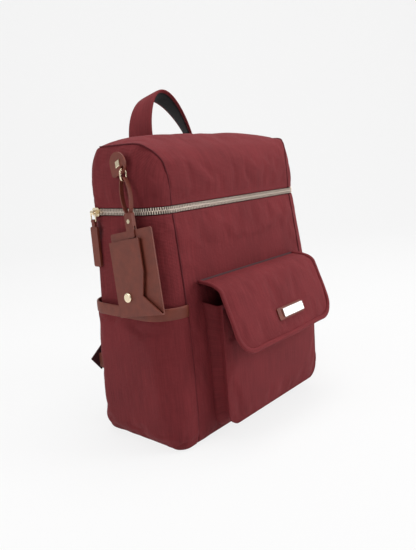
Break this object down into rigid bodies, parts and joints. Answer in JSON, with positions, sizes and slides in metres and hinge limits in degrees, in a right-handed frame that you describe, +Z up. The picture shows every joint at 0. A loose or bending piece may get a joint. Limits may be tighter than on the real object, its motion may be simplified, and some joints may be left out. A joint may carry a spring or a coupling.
{
  "type": "travel backpack",
  "caption": "Soft fabric travel backpack with a zipped domed top, a flapped front pocket, open side pockets with leather trim, a hanging leather luggage tag and a grab handle.",
  "frame": {"origin": "centre of the base's underside, on the surface the bag stands on", "axes": "+Z up; the front with the flapped pocket faces -Y; +X to the right seen from the front"},
  "size_m": [0.3559, 0.2442, 0.4535],
  "materials": {
    "outer_fabric": "woven, matte",
    "back_mesh": "open knit over foam",
    "base_fabric": "coated weave",
    "base_board": "plain board",
    "lining_fabric": "fine plain weave",
    "zipper_tape": "fine twill tape",
    "zipper_metal": "polished pale gold",
    "gold_metal": "polished pale gold",
    "plate_metal": "polished, pale gold tint",
    "magnet": "plated",
    "leather": "smooth, satin, lighter cut edges",
    "tag_card": "plain card",
    "webbing": "ribbed webbing",
    "buckle_plastic": "moulded"
  },
  "bodies": {
    "bag": {"front_panel": "outer_fabric", "back_panel": "back_mesh", "side_panel_left": "outer_fabric", "side_panel_right": "outer_fabric", "base_panel": "base_fabric", "base_board": "base_board", "body_lining": "lining_fabric", "laptop_sleeve": "lining_fabric", "slip_pocket": "lining_fabric", "zipper_teeth_lower": "zipper_metal", "zipper_tape_lower": "zipper_tape", "hinge_cord": "outer_fabric", "pocket_front": "outer_fabric", "pocket_magnet": "magnet", "pocket_gusset": "outer_fabric", "pocket_binding": "outer_fabric", "flap_cord": "outer_fabric", "side_pocket_left": "outer_fabric", "side_pocket_right": "outer_fabric", "pocket_trim_left": "leather", "pocket_trim_right": "leather", "shoulder_strap_left": "back_mesh", "shoulder_strap_right": "back_mesh", "strap_anchor": "outer_fabric", "webbing_left": "webbing", "webbing_right": "webbing", "strap_wing_left": "outer_fabric", "strap_wing_right": "outer_fabric", "wing_tip_left": "leather", "wing_tip_right": "leather"},
    "lid": {"lid_top_panel": "outer_fabric", "lid_back_panel": "outer_fabric", "lid_side_left": "outer_fabric", "lid_side_right": "outer_fabric", "lid_lining": "lining_fabric", "zipper_teeth_upper": "zipper_metal", "zipper_tape_upper": "zipper_tape", "grab_handle": "outer_fabric", "grab_handle_lining": "lining_fabric", "tag_tab": "leather", "tag_tab_base": "leather", "tag_stud": "gold_metal"},
    "slider": {"zip_slider": "zipper_metal"},
    "pull": {"zip_bail": "zipper_metal", "zip_pull": "leather"},
    "flap": {"flap_panel": "outer_fabric", "flap_lining": "lining_fabric", "flap_binding": "outer_fabric", "flap_magnet": "magnet", "flap_patch": "leather", "nameplate": "plate_metal"},
    "ring": {"tag_ring": "gold_metal"},
    "tag": {"tag_thong": "leather", "tag_rivet": "gold_metal", "tag_leather": "leather", "tag_snap": "gold_metal", "tag_card": "tag_card"},
    "buckle_left": {"strap_buckle_left": "buckle_plastic"},
    "buckle_right": {"strap_buckle_right": "buckle_plastic"}
  },
  "joints": [
    {"name": "lid_open", "type": "hinge", "parent": "bag", "child": "lid", "pos_m": [0, 0.0685, 0.295], "axis": [-1, 0, 0], "range_deg": [0, 95]},
    {"name": "slider_run", "type": "slide", "parent": "bag", "child": "slider", "axis": [0, -1, 0], "range_m": [0, 0.03]},
    {"name": "pull_swing", "type": "hinge", "parent": "slider", "child": "pull", "pos_m": [-0.1644, 0.049, 0.295], "axis": [0, 1, 0], "range_deg": [0, 100]},
    {"name": "flap_lift", "type": "hinge", "parent": "bag", "child": "flap", "pos_m": [0, -0.0666, 0.203], "axis": [-1, 0, 0], "range_deg": [0, 85]},
    {"name": "ring_swing", "type": "hinge", "parent": "lid", "child": "ring", "pos_m": [-0.1639, -0.0146, 0.3439], "axis": [0, 1, 0], "range_deg": [0, 35]},
    {"name": "tag_swing", "type": "hinge", "parent": "ring", "child": "tag", "pos_m": [-0.1639, -0.0146, 0.3324], "axis": [-1, 0, 0], "range_deg": [-12, 20]},
    {"name": "buckle_slide_left", "type": "slide", "parent": "bag", "child": "buckle_left", "axis": [0.7863, 0, 0.6178], "range_m": [-0.012, 0.01]},
    {"name": "buckle_slide_right", "type": "slide", "parent": "bag", "child": "buckle_right", "axis": [-0.7863, 0, 0.6178], "range_m": [-0.012, 0.01]}
  ]
}
